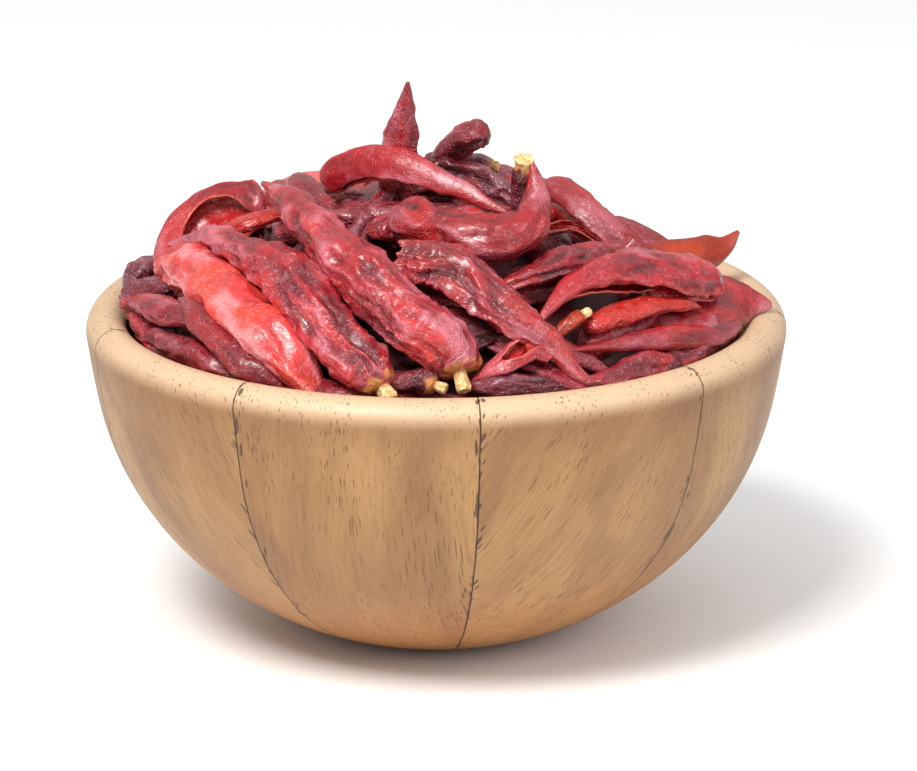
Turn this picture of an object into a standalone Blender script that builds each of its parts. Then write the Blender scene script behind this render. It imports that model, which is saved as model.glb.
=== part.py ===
"""A turned wooden bowl, glued up from nine staves, heaped with large dried red chillies.

The script works in metres with +Z up. The origin is the middle of the bowl's foot, on the surface
that it stands on, and -Y is the front. The helpers count in millimetres and scale when they write.
"""
import math
import random

import bmesh
import bpy
from mathutils import Matrix, Vector

MM = 0.001

# Driving dimensions of the bowl, in millimetres
BODY_RADIUS = 100.0        # outside, where the body is widest
WIDEST_LEVEL = 87.0        # height of that widest ring
BODY_DEPTH = 91.0          # the body is an ellipse this deep below its widest ring
BODY_POWER = 2.02          # 2 is a true ellipse
LIP_RADIUS = 95.5          # middle of the rounded lip
LIP_LEVEL = 89.5
LIP_HALF_WIDTH = 6.0
LIP_HALF_HEIGHT = 6.5
SWELL_LEVEL = 70.0         # the wall starts to swell towards the lip here
INSIDE_RADIUS = 90.0
FLOOR_LEVEL = 10.0         # thickness of the bottom
STAVES = 9
FIRST_SEAM = 7.0           # degrees from the front towards +X
STAVE_STEPS = 5            # facets round one stave
BODY_LEVELS = (0.0, 3.0, 8.0, 16.0, 27.0, 40.0, 55.0, 70.0, 80.0)
LIP_STEPS = 6              # facets over the lip
INSIDE_STEPS = 5           # facets down the inside
GLUE_GAP = 0.3
SHARP_ANGLE = 35.0         # degrees; edges of the staves that bend more than this stay sharp

# Driving dimensions of the heap, in millimetres
HEAP_EDGE = 92.0           # height of the chillies' middles at the wall
HEAP_RISE = 36.0           # and how much higher they lie over the middle of the bowl
HEAP_RADIUS = 92.0
HEAP_POWER = 2.6
CORE_SINK = 11.0           # the plain core lies this far below the chillies' middles
CORE_GAP = 1.2             # between the core and the bowl
CORE_STEPS = 5             # facets from the core's top to its edge, and from there down to the floor
CHILLI_GAP = 1.2           # between a chilli and the bowl, whose flat facets cut across the round
STUB_RADIUS = 2.7          # a dry stalk stub
STUB_LENGTH = 6.0
STOUT_GIRTH = 11.0         # chillies of more girth than this get more facets
STOUT_FACETS = (7, 9)      # sides and rings
SLIM_FACETS = (5, 5)
FILL_FACETS = (4, 5)
CRUMPLE = (0.88, 1.1)      # each corner of a section moves in or out by this share
SHOULDER_SHARE = 0.12      # of a chilli's length
# Share of its girth that a chilli has at its stalk end, and share of its length where it starts to narrow
SHOULDERS = {"torn": 0.85, "stub": 0.45, "whole": 0.35, "full": 0.40}
TAPERS = {"torn": 0.42, "stub": 0.38, "whole": 0.42, "full": 0.70}
TIP_LOSS = 0.88            # share of its girth that it has lost at its tip
TAPER_POWER = 1.4
SECTION_TURN = 0.3         # radians by which the corners move on from one section to the next
BACK_SINK = 5.0            # the filling lies this much lower behind the middle
RIGHT_SINK = 0.12          # and lower by this share of how far right it lies there
FRONT_LIMIT = -35.0        # in front of this line it also lies lower, under the laid chillies
FRONT_SINK = 6.0
DEEPEST_LIFT = -9.0        # but the filling still shows over the core
MERGE_ANGLE = 2.0          # degrees; neighbouring facets flatter than this become one
SPLINE_STEPS = 12
SEED = 7
UP = (0.0, 0.0, 1.0)
FRONT = (0.0, -1.0, 0.35)
FACING_LEAST = 0.35        # a chilli turns its broad side only where its way runs across that direction

# Every chilli that shows from the front: its name, how its stalk end is, its girth and how thick it
# is for that girth, the way that its broad side faces, and its way from the stalk end to the tip.
# A stop on that way is x, y and the lift over the heap's rounded top.
LAID = (
    ("bright", "full", 17, 0.80, UP,
     ((-75, 0, -3), (-71, -12, 1), (-62, -36, 2), (-53, -54, 2), (-44, -67, 1), (-36, -76, -4),
      (-32, -79, -12), (-29, -80, -20))),
    ("second", "stub", 16.5, 0.80, UP,
     ((-12, -88, -2), (-17, -83, 0), (-23, -79, 3), (-32, -68, 5), (-43, -50, 6), (-56, -30, 7),
      (-67, -12, 7), (-78, 4, 8))),
    ("centre", "stub", 18, 0.85, UP,
     ((8, -87, -1), (6, -82, 1), (0, -79, 4), (-9, -74, 6), (-19, -64, 8), (-30, -48, 9), (-40, -25, 10),
      (-50, 2, 11))),
    ("long_right", "torn", 17, 0.70, UP,
     ((-9, -56, 6), (2, -60, 7), (13, -66, 6), (24, -72, 4), (35, -76, 2), (41, -78, 1), (47, -80, 3))),
    ("open_front", "torn", 9, 0.60, UP, ((45, -75, -5), (36, -77, -3), (24, -73, -5), (6, -62, -9))),
    ("fringed", "torn", 10, 0.55, (0.0, -0.6, 1.0),
     ((31, -77, 4), (26, -78, 5), (20, -81, 3), (10, -83, -2))),
    ("low_stub", "stub", 8, 0.80, UP, ((3, -86, -2), (-4, -83, -3), (-12, -80, -6), (-26, -70, -11))),
    ("arch", "whole", 11.5, 0.45, (0.0, -1.0, 0.4),
     ((-31, -2, 5), (-28, -4, 9), (-21, -8, 12), (-14, -12, 13), (-6, -17, 12), (4, -23, 10), (13, -28, 8),
      (21, -31, 6))),
    ("upright", "full", 10, 0.70, FRONT, ((-13, -4, -12), (-12, -6, 2), (-10, -8, 18), (-8, -9, 36))),
    ("crook", "full", 14, 0.75, FRONT,
     ((-11, -28, 3), (-2, -38, 4), (8, -44, 5), (18, -45, 6), (26, -40, 9), (28, -35, 14), (27, -31, 22))),
    ("neck", "stub", 7, 0.90, FRONT, ((25, -30, 23), (25, -28, 17), (24, -26, 6), (21, -24, -12))),
    ("leaning", "full", 10, 0.85, UP, ((14, -2, 19), (7, 4, 14), (0, 11, 6), (-8, 18, -2))),
    ("wrinkled", "stub", 9, 0.80, UP, ((0, 5, 7), (6, -1, 7), (13, -6, 7), (22, -13, 4), (30, -22, -2))),
    ("behind", "stub", 8, 0.80, UP, ((18, 10, 7), (11, 12, 7), (3, 13, 5), (-10, 10, 2))),
    ("grey", "whole", 9, 0.80, UP, ((-26, -32, -4), (-20, -22, 0), (-12, -8, 4))),
    ("fold", "whole", 10, 0.40, (0.2, -0.8, 0.6),
     ((32, -4, 8), (42, -18, 7), (52, -24, 4), (62, -26, 3), (72, -20, 1), (80, -12, 0))),
    ("flap", "whole", 7, 0.40, FRONT, ((54, -34, -3), (54, -32, 3), (56, -30, 9))),
    ("wing", "full", 9, 0.40, (0.2, -0.8, 0.7), ((60, -40, 1), (71, -30, 3), (81, -16, 4), (88, -5, 2))),
    ("brown", "full", 11, 0.35, FRONT,
     ((58, 0, -12), (66, 6, -5), (74, 12, 0), (80, 17, 5), (85, 21, 11), (89, 24, 19))),
    ("slit", "whole", 17, 0.65, (0.0, -0.5, 1.0),
     ((79, -17, 5), (71, -27, 5), (59, -37, 5), (48, -47, 5), (37, -57, 4), (29, -66, 1))),
    ("right_wall", "full", 18, 0.35, (-0.3, -0.8, 0.55),
     ((62, -44, -6), (72, -32, -2), (81, -20, 2), (89, -12, 7), (96, -10, 13))),
    ("right_low", "full", 13, 0.60, UP, ((64, -44, -9), (77, -30, -6), (86, -16, -3))),
    ("straight", "torn", 10, 0.75, UP,
     ((85, -27, 1), (77, -41, 1), (65, -52, 0), (51, -62, -1), (37, -68, -4))),
    ("low_right", "whole", 10, 0.75, UP, ((69, -58, -2), (59, -65, -2), (49, -71, -3), (36, -76, -6))),
    ("dark_right", "full", 9, 0.80, UP, ((84, -34, -2), (76, -46, -2), (66, -56, -4), (52, -64, -7))),
    ("crumpled", "torn", 12, 0.65, UP, ((48, -37, 5), (38, -44, 4), (27, -52, 2), (12, -56, -4))),
    ("twig", "stub", 5, 0.80, UP, ((43, -59, 2), (38, -62, 0), (31, -67, -4))),
    ("lip", "whole", 8, 0.45, UP, ((26, -26, -2), (39, -21, 2), (50, -25, 0))),
    ("red", "whole", 10, 0.60, UP, ((28, -13, 1), (36, -10, 0), (48, -14, -3))),
    ("loop", "whole", 15, 0.40, (-0.5, -1.0, 0.4),
     ((-50, 2, 3), (-62, 10, 6), (-73, 8, 6), (-78, -4, 3), (-72, -22, -1))),
    ("left_edge", "whole", 11, 0.70, UP,
     ((-88, -12, 4), (-82, -22, 3), (-74, -36, 2), (-64, -48, 0), (-52, -56, -6))),
    ("left_low", "full", 10, 0.75, UP,
     ((-84, -20, -6), (-77, -38, -4), (-67, -52, -4), (-55, -64, -6), (-44, -70, -10))),
    ("slender", "full", 10, 0.70, UP,
     ((-40, -78, -10), (-49, -72, -1), (-60, -61, 4), (-67, -48, 6), (-73, -35, 5))),
    ("rim_a", "whole", 10, 0.80, UP, ((-91, 8, 4), (-84, 12, 3), (-74, 12, 0))),
    ("rim_b", "whole", 10, 0.80, UP, ((-90, -2, 2), (-82, -8, 1), (-70, -14, -3))),
    ("inner_red", "full", 9, 0.60, UP,
     ((42, -59, -4), (49, -53, -2), (58, -46, 0), (67, -38, 1), (76, -28, 0))),
    ("front_low", "full", 9, 0.80, UP, ((40, -76, -6), (30, -80, -4), (18, -82, -3), (6, -82, -5))),
    ("orange", "full", 9, 0.60, UP, ((-62, -2, 1), (-54, -6, 3), (-47, -5, 2), (-38, -2, -1))),
    ("pale", "whole", 10, 0.70, UP, ((-62, 16, 0), (-54, 27, 3), (-46, 38, 1))),
    ("salmon", "whole", 12, 0.70, UP, ((-60, 32, -3), (-42, 37, 3), (-24, 40, 4))),
    ("under_arch", "full", 11, 0.80, UP, ((-52, 20, -5), (-36, 12, -1), (-20, 2, 0))),
    ("dark_gap", "whole", 7, 0.80, UP, ((-44, -38, -6), (-36, -28, -2), (-28, -10, -3))),
    ("front_gap", "full", 11, 0.80, UP, ((24, -60, -5), (8, -68, -7), (-10, -72, -9))),
    ("left_gap", "full", 11, 0.80, UP, ((-26, -58, -4), (-38, -44, -3), (-50, -22, -3))),
)

# The chillies below and behind them lie in rings: the ring's radius, how many, their lift, how far off
# the ring they swing in degrees, and how far forward they may lie, behind the chillies above
FILL_RINGS = (
    (83.0, 10, -5.0, 12.0, -200.0),
    (72.0, 9, -3.0, 40.0, -200.0),
    (50.0, 7, -2.0, 40.0, -200.0),
    (24.0, 5, -1.0, 50.0, -200.0),
    (77.0, 8, 2.0, 30.0, 20.0),
    (58.0, 8, 4.0, 45.0, 16.0),
    (33.0, 6, 4.0, 50.0, 12.0),
    (10.0, 2, 2.0, 60.0, -200.0),
    (66.0, 11, 3.0, 70.0, 32.0),
    (44.0, 8, 5.0, 80.0, 14.0),
)
FILL_GIRTH = (10.0, 15.0)
FILL_LENGTH = (55.0, 82.0)
FILL_FLAT = (0.6, 0.9)     # thickness for the girth
RING_SHIFT = 0.5           # a chilli moves on along its ring by up to this share of the step
RING_SPREAD = 4.0          # and in or out by up to this
LIFT_SPREAD = 1.5
END_DROP = 1.5             # its ends hang this far below its ring, and its middle rises as much
BOW_LIMIT = 14.0           # how far it bends along the wall at most
BOW_SHARE = (0.4, 1.3)

for left_over in list(bpy.context.scene.objects):
    bpy.data.objects.remove(left_over)


def new_collection(name):
    """Make a collection in the scene."""
    made = bpy.data.collections.new(name)
    bpy.context.scene.collection.children.link(made)
    return made


def new_material(name, colour, roughness):
    """Make a plain Principled material."""
    made = bpy.data.materials.new(name)
    made.use_nodes = True
    shader = made.node_tree.nodes["Principled BSDF"]
    shader.inputs["Base Color"].default_value = (*colour, 1.0)
    shader.inputs["Roughness"].default_value = roughness
    shader.inputs["Metallic"].default_value = 0.0
    return made


def new_object(name, mesh, collection, material=None):
    """Put a mesh into a collection as a named object."""
    made = bpy.data.objects.new(name, mesh)
    collection.objects.link(made)
    if material:
        mesh.materials.append(material)
    return made


def wall_outside(level):
    """Outer radius of the bowl at a height, with the soft swell below its lip."""
    below = max(WIDEST_LEVEL - level, 0.0) / BODY_DEPTH
    body = BODY_RADIUS * (1.0 - below ** BODY_POWER) ** (1.0 / BODY_POWER)
    rise = min(max((level - SWELL_LEVEL) / (LIP_LEVEL - SWELL_LEVEL), 0.0), 1.0)
    swell = LIP_RADIUS + LIP_HALF_WIDTH - BODY_RADIUS
    return body + swell * rise * rise


def wall_inside(level):
    """Inner radius of the bowl at a height, up to its lip."""
    below = min(max(LIP_LEVEL - level, 0.0) / (LIP_LEVEL - FLOOR_LEVEL), 1.0)
    radius = INSIDE_RADIUS * math.sqrt(1.0 - below * below)
    return min(radius, LIP_RADIUS - LIP_HALF_WIDTH)


def bowl_profile():
    """Half outline of the bowl as (radius, height), from the axis under the foot round to the inside."""
    points = [(0.0, 0.0)]
    points += [(wall_outside(level), level) for level in BODY_LEVELS]
    for step in range(LIP_STEPS + 1):
        angle = math.pi * step / LIP_STEPS
        points.append((LIP_RADIUS + LIP_HALF_WIDTH * math.cos(angle),
                       LIP_LEVEL + LIP_HALF_HEIGHT * math.sin(angle)))
    for step in range(1, INSIDE_STEPS):
        angle = math.pi / 2.0 * step / INSIDE_STEPS
        level = LIP_LEVEL - (LIP_LEVEL - FLOOR_LEVEL) * math.sin(angle)
        points.append((wall_inside(level), level))
    points.append((0.0, FLOOR_LEVEL))
    return points


def add_stave(index, collection, material):
    """One stave: the bowl's outline swept round by a ninth of a turn, and moved out by half a glue gap."""
    sweep = math.tau / STAVES
    start = math.radians(FIRST_SEAM - 90.0) + sweep * index
    shaped = bmesh.new()
    corners = [shaped.verts.new(Vector((radius, 0.0, level)) * MM) for radius, level in bowl_profile()]
    outline = shaped.faces.new(corners)
    bmesh.ops.rotate(shaped, verts=corners, matrix=Matrix.Rotation(start, 3, "Z"))
    bmesh.ops.spin(shaped, geom=[outline, *outline.edges, *outline.verts], axis=(0, 0, 1), cent=(0, 0, 0),
                   angle=sweep, steps=STAVE_STEPS, use_merge=False)
    bmesh.ops.remove_doubles(shaped, verts=shaped.verts, dist=0.01 * MM)
    bmesh.ops.recalc_face_normals(shaped, faces=shaped.faces)
    middle = start + sweep / 2.0
    shift = GLUE_GAP / 2.0 / math.sin(sweep / 2.0)
    bmesh.ops.translate(shaped, verts=shaped.verts,
                        vec=Vector((math.cos(middle), math.sin(middle), 0.0)) * shift * MM)
    mesh = bpy.data.meshes.new("stave")
    shaped.to_mesh(mesh)
    shaped.free()
    mesh.shade_smooth()
    mesh.set_sharp_from_angle(angle=math.radians(SHARP_ANGLE))
    return new_object(f"stave_{index + 1}", mesh, collection, material)


def heap_level(x, y):
    """Height of the heap's rounded top, through the middles of the chillies."""
    reach = min(math.hypot(x, y) / HEAP_RADIUS, 1.05)
    return HEAP_EDGE + HEAP_RISE * (1.0 - reach ** HEAP_POWER)


def clear_of_bowl(point, reach):
    """Move a point in from the wall, or away from the lip, until it is clear by its reach."""
    radius = max(math.hypot(point.x, point.y), 0.001)
    level = point.z
    if level < LIP_LEVEL:
        radius_now = min(radius, wall_inside(level) - reach)
        level_now = max(level, FLOOR_LEVEL + reach)
    else:
        away = Vector((radius - LIP_RADIUS, level - LIP_LEVEL))
        needed = LIP_HALF_HEIGHT + reach
        if away.length < needed:
            away = away.normalized() * needed
        radius_now = LIP_RADIUS + away.x
        level_now = LIP_LEVEL + away.y
    return Vector((point.x * radius_now / radius, point.y * radius_now / radius, level_now))


def smooth_way(stops, count):
    """Points at even steps along a Catmull-Rom curve through the stops."""
    padded = [stops[0] * 2.0 - stops[1], *stops, stops[-1] * 2.0 - stops[-2]]
    fine = []
    for index in range(1, len(padded) - 2):
        before, start, end, after = padded[index - 1:index + 3]
        for step in range(SPLINE_STEPS):
            t = step / SPLINE_STEPS
            fine.append(0.5 * (2.0 * start + (end - before) * t
                               + (2.0 * before - 5.0 * start + 4.0 * end - after) * t ** 2
                               + (3.0 * start - before - 3.0 * end + after) * t ** 3))
    fine.append(stops[-1].copy())
    travelled = [0.0]
    for first, second in zip(fine, fine[1:]):
        travelled.append(travelled[-1] + (second - first).length)
    points = []
    place = 0
    for index in range(count):
        wanted = travelled[-1] * index / (count - 1)
        while place < len(fine) - 2 and travelled[place + 1] < wanted:
            place += 1
        share = (wanted - travelled[place]) / (travelled[place + 1] - travelled[place])
        points.append(fine[place].lerp(fine[place + 1], min(max(share, 0.0), 1.0)))
    return points


def thickness_along(share, end):
    """Half girth along a chilli, 1 where it is full: a blunt shoulder, a long body and a pointed tip."""
    rise = min(share / SHOULDER_SHARE, 1.0)
    front = SHOULDERS[end] + (1.0 - SHOULDERS[end]) * math.sqrt(rise * (2.0 - rise))
    fall = max((share - TAPERS[end]) / (1.0 - TAPERS[end]), 0.0)
    return front * (1.0 - TIP_LOSS * fall ** TAPER_POWER)


def chilli_mesh(row, facets, chance):
    """A closed chilli of few sides, lofted from crumpled oval sections along its way."""
    _name, end, girth, flat, face, stops = row
    sides, rings = facets
    way = [Vector((x, y, heap_level(x, y) + lift)) for x, y, lift in stops]
    middles = smooth_way(way, rings)
    shaped = bmesh.new()
    loops = []
    across = Vector(face)
    length = sum((second - first).length for first, second in zip(middles, middles[1:]))
    for index, middle in enumerate(middles):
        share = index / (rings - 1)
        half = girth / 2.0 * thickness_along(share, end)
        if end == "stub" and share * length < STUB_LENGTH:
            half = STUB_RADIUS
        middle = clear_of_bowl(middle, half * (0.5 + 0.5 * flat) + CHILLI_GAP)
        heading = (middles[min(index + 1, rings - 1)] - middles[max(index - 1, 0)]).normalized()
        faced = Vector(face) - heading * heading.dot(Vector(face))
        across = faced if faced.length > FACING_LEAST else across - heading * across.dot(heading)
        across.normalize()
        beside = heading.cross(across)
        loop = []
        for side in range(sides):
            angle = math.tau * side / sides + SECTION_TURN * index
            reach = half * chance.uniform(*CRUMPLE)
            thinner = 1.0 if half == STUB_RADIUS else flat
            point = middle + beside * reach * math.cos(angle) + across * reach * math.sin(angle) * thinner
            loop.append(shaped.verts.new(clear_of_bowl(point, CHILLI_GAP) * MM))
        loops.append(loop)
    for lower, upper in zip(loops, loops[1:]):
        for side in range(sides):
            following = (side + 1) % sides
            shaped.faces.new((lower[side], lower[following], upper[following], upper[side]))
    shaped.faces.new(loops[0])
    shaped.faces.new(loops[-1])
    bmesh.ops.recalc_face_normals(shaped, faces=shaped.faces)
    bmesh.ops.triangulate(shaped, faces=shaped.faces)
    mesh = bpy.data.meshes.new("chilli")
    shaped.to_mesh(mesh)
    shaped.free()
    return mesh


def fill_rows(ring, chance):
    """Rows like the laid ones for a ring of chillies that lie below or behind them."""
    ring_radius, count, lift, swing_limit, front_limit = ring
    rows = []
    for index in range(count):
        angle = math.tau * (index + chance.uniform(0.0, RING_SHIFT)) / count
        outward = Vector((math.cos(angle), math.sin(angle)))
        swing = math.radians(chance.uniform(-swing_limit, swing_limit))
        along = Matrix.Rotation(swing, 2) @ outward.orthogonal()
        length = chance.uniform(*FILL_LENGTH)
        middle = outward * (ring_radius + chance.uniform(-RING_SPREAD, RING_SPREAD))
        bow = min(length * length / (8.0 * ring_radius), BOW_LIMIT) * chance.uniform(*BOW_SHARE)
        ends = [middle - outward * bow - along * length * side for side in (0.5, -0.5)]
        girth = chance.uniform(*FILL_GIRTH)
        flat = chance.uniform(*FILL_FLAT)
        row_lift = lift + chance.uniform(-LIFT_SPREAD, LIFT_SPREAD)
        if middle.y > 0.0:
            row_lift -= BACK_SINK + RIGHT_SINK * max(middle.x, 0.0)
        if middle.y < FRONT_LIMIT:
            row_lift -= FRONT_SINK
        row_lift = max(row_lift, DEEPEST_LIFT + lift / 2.0)
        places = ((ends[0], -END_DROP), (middle, END_DROP), (ends[1], -END_DROP))
        stops = [(place.x, place.y, row_lift + rise) for place, rise in places]
        if middle.y > front_limit:
            rows.append((f"fill_{index}", "whole", girth, flat, UP, stops))
    return rows


def turned_core(collection, material):
    """The plain heap under the chillies, turned to fit the inside of the bowl."""
    points = [(0.0, heap_level(0.0, 0.0) - CORE_SINK)]
    top_edge = wall_inside(LIP_LEVEL) - CORE_GAP
    for step in range(1, CORE_STEPS + 1):
        radius = top_edge * step / CORE_STEPS
        points.append((radius, heap_level(radius, 0.0) - CORE_SINK))
    depth = points[-1][1] - FLOOR_LEVEL - CORE_GAP
    for step in range(1, CORE_STEPS):
        level = FLOOR_LEVEL + CORE_GAP + depth * (1.0 - step / CORE_STEPS) ** 1.5
        points.append((wall_inside(level - CORE_GAP) - CORE_GAP, level))
    points.append((0.0, FLOOR_LEVEL + CORE_GAP))
    profile = bmesh.new()
    corners = [profile.verts.new(Vector((radius, 0.0, level)) * MM) for radius, level in points]
    for first, second in zip(corners, corners[1:]):
        profile.edges.new((first, second))
    mesh = bpy.data.meshes.new("core")
    profile.to_mesh(mesh)
    profile.free()
    core = new_object("chillies", mesh, collection, material)
    screw = core.modifiers.new("turn", "SCREW")
    screw.steps = screw.render_steps = STAVES * STAVE_STEPS // 2
    screw.use_merge_vertices = True
    screw.merge_threshold = 0.00005
    return core


def largest_shell(mesh):
    """Keep only the outer skin: what fusing sealed inside is filled, and loose scraps are dropped."""
    shaped = bmesh.new()
    shaped.from_mesh(mesh)
    waiting = set(shaped.faces)
    shells = []
    while waiting:
        shell = set()
        queue = [waiting.pop()]
        while queue:
            face = queue.pop()
            shell.add(face)
            for edge in face.edges:
                for other in edge.link_faces:
                    if other in waiting:
                        waiting.discard(other)
                        queue.append(other)
        shells.append(shell)
    shells.sort(key=len)
    scrap = [face for shell in shells[:-1] for face in shell]
    bmesh.ops.delete(shaped, geom=scrap, context="FACES")
    bmesh.ops.dissolve_limit(
        shaped, angle_limit=math.radians(MERGE_ANGLE), verts=shaped.verts, edges=shaped.edges)
    bmesh.ops.triangulate(shaped, faces=shaped.faces)
    shaped.to_mesh(mesh)
    shaped.free()


def add_heap(collection, material):
    """Fuse the core and every chilli into one solid."""
    core = turned_core(collection, material)
    pieces = new_collection("chilli_pieces")
    chance = random.Random(SEED)
    rows = [(row, STOUT_FACETS if row[2] > STOUT_GIRTH else SLIM_FACETS) for row in LAID]
    for ring in FILL_RINGS:
        rows += [(row, FILL_FACETS) for row in fill_rows(ring, chance)]
    for row, facets in rows:
        new_object(row[0], chilli_mesh(row, facets, chance), pieces)
    union = core.modifiers.new("fuse", "BOOLEAN")
    union.operation = "UNION"
    union.operand_type = "COLLECTION"
    union.collection = pieces
    union.solver = "MANIFOLD"
    fused = bpy.data.meshes.new_from_object(core.evaluated_get(bpy.context.evaluated_depsgraph_get()))
    core.modifiers.clear()
    core.data = fused
    for piece in list(pieces.objects):
        bpy.data.objects.remove(piece)
    bpy.data.collections.remove(pieces)
    largest_shell(fused)
    return core


bowl_parts = new_collection("bowl_of_dried_chillies")
pale_wood = new_material("oiled_pale_wood", (0.55, 0.36, 0.19), 0.5)
chilli_skin = new_material("dried_chilli_skin", (0.36, 0.06, 0.05), 0.45)
for stave_index in range(STAVES):
    add_stave(stave_index, bowl_parts, pale_wood)
add_heap(bowl_parts, chilli_skin)
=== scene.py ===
import math
import random

import bmesh
import bpy
from mathutils import Matrix, Vector, noise


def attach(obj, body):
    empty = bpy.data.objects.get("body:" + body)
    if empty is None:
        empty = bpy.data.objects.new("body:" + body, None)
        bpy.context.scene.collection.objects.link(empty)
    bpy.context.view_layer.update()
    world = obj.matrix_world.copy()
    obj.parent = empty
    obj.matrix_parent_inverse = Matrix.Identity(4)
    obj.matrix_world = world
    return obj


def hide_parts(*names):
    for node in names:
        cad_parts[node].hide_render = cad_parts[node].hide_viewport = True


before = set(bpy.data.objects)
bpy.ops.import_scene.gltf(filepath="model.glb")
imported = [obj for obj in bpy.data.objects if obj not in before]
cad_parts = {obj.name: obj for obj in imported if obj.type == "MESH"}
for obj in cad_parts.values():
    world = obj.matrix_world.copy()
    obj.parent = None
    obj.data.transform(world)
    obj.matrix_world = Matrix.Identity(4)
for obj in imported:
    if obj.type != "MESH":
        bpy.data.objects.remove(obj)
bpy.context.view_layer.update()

# The bowl's staves. Nine wedges of a pale, straight-grained hardwood with short dark pores are glued
# edge to edge and turned on a lathe to a deep round bowl with a thick rolled lip, then thinly oiled.
# Each wedge has its own grain, so the pores lean another way past each dark glue line.
MM = 0.001
BODY_RADIUS = 100.0
WIDEST_LEVEL = 87.0
BODY_DEPTH = 91.0
BODY_POWER = 2.02
LIP_RADIUS = 95.5
LIP_LEVEL = 89.5
LIP_HALF_WIDTH = 6.0
LIP_HALF_HEIGHT = 6.5
SWELL_LEVEL = 70.0
INSIDE_RADIUS = 90.0
FLOOR_LEVEL = 10.0
STAVES = 9
FIRST_SEAM = 7.0
GLUE_GAP = 0.12
STAVE_FACETS = 28
BODY_FACETS = 34
LIP_FACETS = 18
INSIDE_FACETS = 14
SEAM_ROUNDING = 0.06
SEAM_CORNER = 60.0        # degrees; sharper corners than this are rounded
EDGE_ANGLE = 50.0
LOW_STEP_POWER = 1.8      # crowds the outline's points towards the foot, where the wall turns most
SAME_POINT = 0.01
BLOCK_STEP = 137.0        # each wedge is sawn from another place in the board
GRAIN_LEAN = (26.0, -12.0, 15.0, 6.0, -14.0, 10.0, -8.0, -20.0, 1.0)
GRAIN_SLOPE = 13.0
GRAIN_DEPTH = 0.45
RING_MIDDLES = ((60.0, 30.0), (75.0, -20.0), (50.0, 10.0), (90.0, 25.0), (65.0, -30.0), (80.0, 5.0),
                (70.0, 20.0), (70.0, -25.0), (-30.0, 48.0))


def paint(red, green, blue):
    """A colour as a painter reads it, 0 to 255, as the shader's linear numbers."""
    linear = []
    for value in (red, green, blue):
        share = value / 255.0
        linear.append(share / 12.92 if share <= 0.04045 else ((share + 0.055) / 1.055) ** 2.4)
    return (*linear, 1.0)


def wall_outside(level):
    """Outer radius of the bowl at a height, with the soft swell below its lip."""
    below = max(WIDEST_LEVEL - level, 0.0) / BODY_DEPTH
    body = BODY_RADIUS * (1.0 - below ** BODY_POWER) ** (1.0 / BODY_POWER)
    rise = min(max((level - SWELL_LEVEL) / (LIP_LEVEL - SWELL_LEVEL), 0.0), 1.0)
    swell = LIP_RADIUS + LIP_HALF_WIDTH - BODY_RADIUS
    return body + swell * rise * rise


def wall_inside(level):
    """Inner radius of the bowl at a height, up to its lip."""
    below = min(max(LIP_LEVEL - level, 0.0) / (LIP_LEVEL - FLOOR_LEVEL), 1.0)
    radius = INSIDE_RADIUS * math.sqrt(1.0 - below * below)
    return min(radius, LIP_RADIUS - LIP_HALF_WIDTH)


def bowl_outline():
    """Half outline of the bowl as (radius, height), from the axis under the foot round to the inside."""
    points = [(0.0, 0.0)]
    for step in range(BODY_FACETS):
        level = (WIDEST_LEVEL - 1.0) * (step / BODY_FACETS) ** LOW_STEP_POWER
        points.append((wall_outside(level), level))
    for step in range(LIP_FACETS + 1):
        angle = math.pi * step / LIP_FACETS
        points.append((LIP_RADIUS + LIP_HALF_WIDTH * math.cos(angle),
                       LIP_LEVEL + LIP_HALF_HEIGHT * math.sin(angle)))
    for step in range(1, INSIDE_FACETS):
        angle = math.pi / 2.0 * step / INSIDE_FACETS
        level = LIP_LEVEL - (LIP_LEVEL - FLOOR_LEVEL) * math.sin(angle)
        points.append((wall_inside(level), level))
    points.append((0.0, FLOOR_LEVEL))
    return points


def add_node(material, kind, **inputs):
    """A new shader node with its inputs set by name."""
    node = material.node_tree.nodes.new(kind)
    for name, value in inputs.items():
        node.inputs[name.replace("_", " ")].default_value = value
    return node


def plug(material, value, socket):
    """Set a socket to a number or a colour, or link another node's output to it."""
    if isinstance(value, bpy.types.NodeSocket):
        material.node_tree.links.new(value, socket)
    else:
        socket.default_value = value


def mark_of(material, name):
    """One of the numbers that the mesh carries at each of its points."""
    reader = add_node(material, "ShaderNodeAttribute")
    reader.attribute_name = name
    return reader.outputs["Fac"]


def span(material, source, low, high, new_low=0.0, new_high=1.0):
    """A value stretched softly from one range to another, and held at its ends."""
    node = add_node(material, "ShaderNodeMapRange")
    node.interpolation_type = "SMOOTHSTEP"
    plug(material, source, node.inputs["Value"])
    plug(material, low, node.inputs["From Min"])
    plug(material, high, node.inputs["From Max"])
    plug(material, new_low, node.inputs["To Min"])
    plug(material, new_high, node.inputs["To Max"])
    return node.outputs["Result"]


def blend(material, share, first, second, way="MIX"):
    """A mix of two colours, by a share."""
    node = add_node(material, "ShaderNodeMix")
    node.data_type = "RGBA"
    node.blend_type = way
    for index, value in ((0, share), (6, first), (7, second)):
        plug(material, value, node.inputs[index])
    return node.outputs[2]


def work_out(material, way, first, second):
    """A sum, difference or product of two values."""
    node = add_node(material, "ShaderNodeMath")
    node.operation = way
    plug(material, first, node.inputs[0])
    plug(material, second, node.inputs[1])
    return node.outputs[0]


def stretched(material, place, stretch):
    """The place of a point, stretched along each way."""
    mapping = add_node(material, "ShaderNodeMapping", Scale=stretch)
    plug(material, place, mapping.inputs["Vector"])
    return mapping.outputs[0]


def cloudy(material, place, detail, rough=0.5):
    """Soft noise, about 0.5 in the middle, over a stretched place."""
    grain = add_node(material, "ShaderNodeTexNoise", Scale=1.0, Detail=detail, Roughness=rough)
    plug(material, place, grain.inputs["Vector"])
    return grain.outputs[0]


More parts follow.
